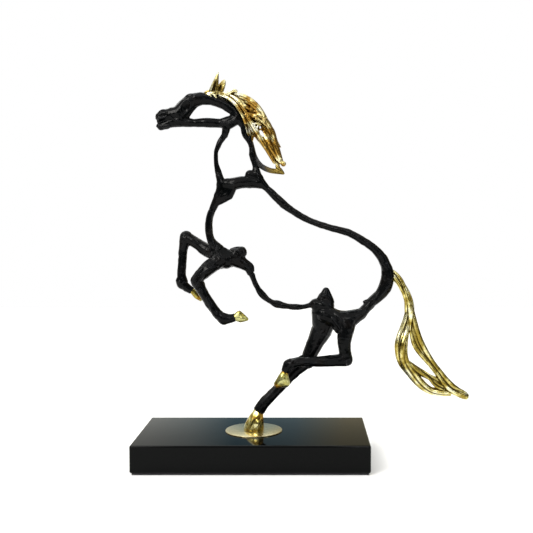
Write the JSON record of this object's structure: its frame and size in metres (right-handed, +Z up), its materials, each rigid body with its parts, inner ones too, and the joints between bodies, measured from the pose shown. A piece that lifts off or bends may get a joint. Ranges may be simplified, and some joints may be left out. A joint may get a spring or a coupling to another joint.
{
  "type": "horse statue",
  "caption": "Free-standing sculpture of a rearing horse drawn in black cast strands with gilded mane, tail, ears and hooves, on a brass disc and a polished black stone block.",
  "frame": {"origin": "centre of the underside of the foam mat, where the statue stands", "axes": "+Z up, +X from the horse's head toward its tail along the stone block, +Y to the horse's right"},
  "size_m": [0.3483, 0.12, 0.404],
  "materials": {
    "patina": "cast bronze with a black patina, waxed to a satin",
    "gilt": "cast bronze, gold plated and polished",
    "disc": "rolled brass sheet, satin brushed and lacquered",
    "stone": "black stone, polished to a gloss",
    "mat": "closed-cell foam sheet, matt",
    "fastener": "zinc plated steel"
  },
  "bodies": {
    "root": {"base_mat": "mat", "marble_base": "stone", "brass_disc": "disc", "anchor_stud": "fastener", "anchor_washer": "fastener", "anchor_nut": "fastener", "head": "patina", "throat_strand": "patina", "crest_strand": "patina", "shoulder_bridge": "patina", "chest_strand": "patina", "elbow_hub": "patina", "belly_strand": "patina", "back_strand": "patina", "croup": "patina", "haunch": "patina", "left_foreleg": "patina", "right_foreleg": "patina", "left_hind_leg": "patina", "right_hind_leg": "patina", "ears_and_forelock": "gilt", "mane": "gilt", "mane_lower_lock": "gilt", "tail": "gilt", "left_fore_hoof": "gilt", "right_fore_hoof": "gilt", "left_hind_hoof": "gilt", "right_hind_hoof": "gilt"}
  },
  "joints": []
}
